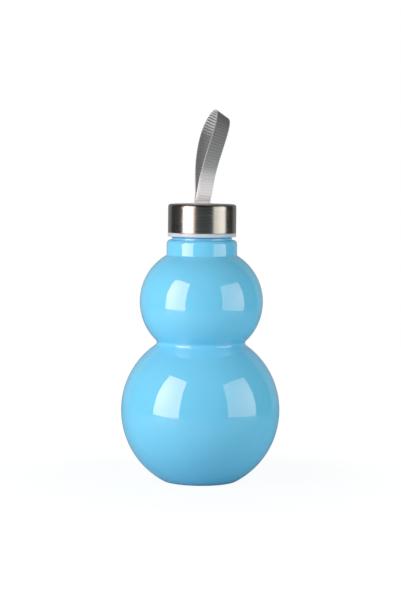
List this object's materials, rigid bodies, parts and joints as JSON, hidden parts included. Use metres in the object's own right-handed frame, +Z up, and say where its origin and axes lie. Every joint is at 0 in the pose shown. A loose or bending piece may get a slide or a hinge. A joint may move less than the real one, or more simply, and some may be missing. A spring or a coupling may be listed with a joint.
{
  "type": "gourd water bottle",
  "caption": "Gourd-shaped water bottle with two round bulbs, a waist, a threaded neck and a steel-clad screw cap that carries a ribbon loop.",
  "frame": {"origin": "middle of the base, on the surface that the bottle stands on", "axes": "+Z up along the bottle's axis, X along the width of the ribbon and its slot, the loop leaning to +X"},
  "size_m": [0.0954, 0.0954, 0.2231],
  "materials": {
    "coated_glass": "opaque gloss light-blue coat on glass",
    "seal_silicone": "soft matte white",
    "liner_plastic": "milky translucent white",
    "cap_steel": "finely brushed round the cap",
    "grommet_plastic": "smooth pale grey",
    "pin_steel": "plain drawn wire",
    "ribbon_fabric": "grey grosgrain weave with cross ribs",
    "stitch_thread": "twisted grey thread"
  },
  "bodies": {
    "bottle": {"bottle_body": "coated_glass"},
    "seal": {"seal_ring": "seal_silicone"},
    "cap": {"cap_liner": "liner_plastic", "cap_shell": "cap_steel", "strap_grommet": "grommet_plastic", "strap_pin": "pin_steel", "strap_tail": "ribbon_fabric"},
    "strap": {"strap_loop": "ribbon_fabric", "strap_stitches": "stitch_thread"}
  },
  "joints": [
    {"name": "cap_lift", "type": "slide", "parent": "bottle", "child": "seal", "axis": [0, 0, 1], "range_m": [0, 0.02]},
    {"name": "cap_turn", "type": "hinge", "parent": "seal", "child": "cap", "pos_m": [0, 0, 0.1579], "axis": [0, 0, 1], "range_deg": [0, 1800]},
    {"name": "strap_tilt", "type": "hinge", "parent": "cap", "child": "strap", "pos_m": [0, 0, 0.1682], "axis": [1, 0, 0], "range_deg": [-65, 65], "stiffness_Nm_per_rad": 0.0015}
  ],
  "couplings": [
    {"joint": "cap_lift", "follows": "cap_turn", "m_per_rad": 0.00063662}
  ]
}
